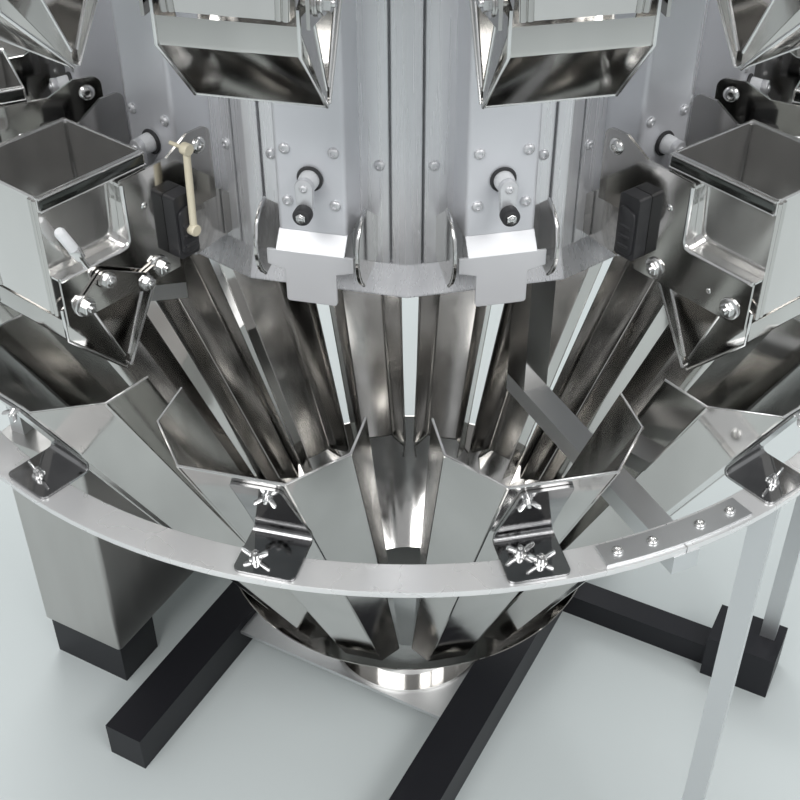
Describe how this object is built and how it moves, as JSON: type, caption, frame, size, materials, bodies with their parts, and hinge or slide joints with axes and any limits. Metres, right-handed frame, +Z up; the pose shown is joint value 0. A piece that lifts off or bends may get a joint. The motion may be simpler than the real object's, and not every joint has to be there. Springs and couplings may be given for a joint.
{
  "type": "multihead weigher",
  "caption": "Stainless multihead weigher with radial feeder pans, feed and weigh hoppers, a ring of discharge chutes, a collecting funnel and a black floor frame.",
  "frame": {"origin": "on the floor, on the machine's own upright axis", "axes": "+Z up; the front, where two weigh hoppers are lifted off, faces -Y; +X to the right as seen from the front"},
  "size_m": [1.1166, 1.102, 1.48],
  "materials": {
    "polished_steel": "bright polished stainless sheet, almost a mirror",
    "satin_steel": "satin stainless steel with a fine grain",
    "blasted_steel": "bead-blasted stainless steel, even and dull",
    "cast_aluminium": "pale matt cast aluminium",
    "dark_steel": "machined steel arm with a black roller",
    "pale_seal": "pale moulded shaft seal",
    "black_plastic": "black moulded plastic",
    "black_paint": "black paint on square steel tube"
  },
  "bodies": {
    "frame": {"arm_uprights": "satin_steel", "body_core": "blasted_steel", "chute_brackets": "polished_steel", "chutes_left": "polished_steel", "chutes_right": "polished_steel", "collecting_funnel": "polished_steel", "cone_hub": "cast_aluminium", "corner_columns": "satin_steel", "door_links_other": "polished_steel", "drive_boxes": "cast_aluminium", "feed_brackets": "polished_steel", "feed_cranks": "dark_steel", "feed_doors_back": "polished_steel", "feed_doors_front": "polished_steel", "feed_shells": "polished_steel", "feeder_pans": "polished_steel", "flange_covers": "blasted_steel", "floor_frame": "black_paint", "foot_blocks": "black_paint", "funnel_carrier": "satin_steel", "hanger_ears": "polished_steel", "hanging_plates": "blasted_steel", "hopper_bracket_left": "polished_steel", "hopper_bracket_right": "polished_steel", "latch_blocks_left": "black_plastic", "latch_blocks_other": "black_plastic", "latch_blocks_right": "black_plastic", "pan_vibrators": "cast_aluminium", "ring_half_left": "satin_steel", "ring_half_right": "satin_steel", "ring_splices": "satin_steel", "shaft_seals": "pale_seal", "side_box": "blasted_steel", "slim_posts": "satin_steel", "support_arms": "satin_steel", "top_cone": "polished_steel", "top_deck": "satin_steel", "weigh_brackets_other": "polished_steel", "weigh_cranks": "dark_steel", "weigh_doors_other_back": "polished_steel", "weigh_doors_other_front": "polished_steel", "weigh_shell_left": "polished_steel", "weigh_shell_right": "polished_steel", "weigh_shells_other": "polished_steel"},
    "right_front_door": {"weigh_door_right_front": "polished_steel"},
    "right_back_door": {"weigh_door_right_back": "polished_steel"},
    "right_link": {"door_link_right": "polished_steel"},
    "right_crank": {"crank_right": "dark_steel"},
    "left_front_door": {"weigh_door_left_front": "polished_steel"},
    "left_back_door": {"weigh_door_left_back": "polished_steel"},
    "left_link": {"door_link_left": "polished_steel"},
    "left_crank": {"crank_left": "dark_steel"}
  },
  "joints": [
    {"name": "right_front_door_hinge", "type": "hinge", "parent": "frame", "child": "right_front_door", "pos_m": [0.30364, -0.38075, 0.908], "axis": [-0.7818, -0.6235, 0], "range_deg": [0, 45]},
    {"name": "right_back_door_hinge", "type": "hinge", "parent": "frame", "child": "right_back_door", "pos_m": [0.25376, -0.31821, 0.908], "axis": [0.7818, 0.6235, 0], "range_deg": [0, 45]},
    {"name": "right_link_hinge", "type": "hinge", "parent": "right_front_door", "child": "right_link", "pos_m": [0.28992, -0.36355, 0.924], "axis": [0.7818, 0.6235, 0], "range_deg": [0, 54]},
    {"name": "right_crank_hinge", "type": "hinge", "parent": "frame", "child": "right_crank", "pos_m": [0.07833, -0.34317, 0.985], "axis": [0.2225, -0.9749, 0], "range_deg": [-180, 180]},
    {"name": "left_front_door_hinge", "type": "hinge", "parent": "frame", "child": "left_front_door", "pos_m": [-0.30364, -0.38075, 0.908], "axis": [-0.7818, 0.6235, 0], "range_deg": [0, 45]},
    {"name": "left_back_door_hinge", "type": "hinge", "parent": "frame", "child": "left_back_door", "pos_m": [-0.25376, -0.31821, 0.908], "axis": [0.7818, -0.6235, 0], "range_deg": [0, 45]},
    {"name": "left_link_hinge", "type": "hinge", "parent": "left_front_door", "child": "left_link", "pos_m": [-0.28992, -0.36355, 0.924], "axis": [0.7818, -0.6235, 0], "range_deg": [0, 54]},
    {"name": "left_crank_hinge", "type": "hinge", "parent": "frame", "child": "left_crank", "pos_m": [-0.07833, -0.34317, 0.985], "axis": [-0.2225, -0.9749, 0], "range_deg": [-180, 180]}
  ],
  "couplings": [
    {"joint": "right_back_door_hinge", "follows": "right_front_door_hinge", "ratio": 1},
    {"joint": "right_link_hinge", "follows": "right_front_door_hinge", "ratio": 1.2},
    {"joint": "left_back_door_hinge", "follows": "left_front_door_hinge", "ratio": 1},
    {"joint": "left_link_hinge", "follows": "left_front_door_hinge", "ratio": 1.2}
  ]
}
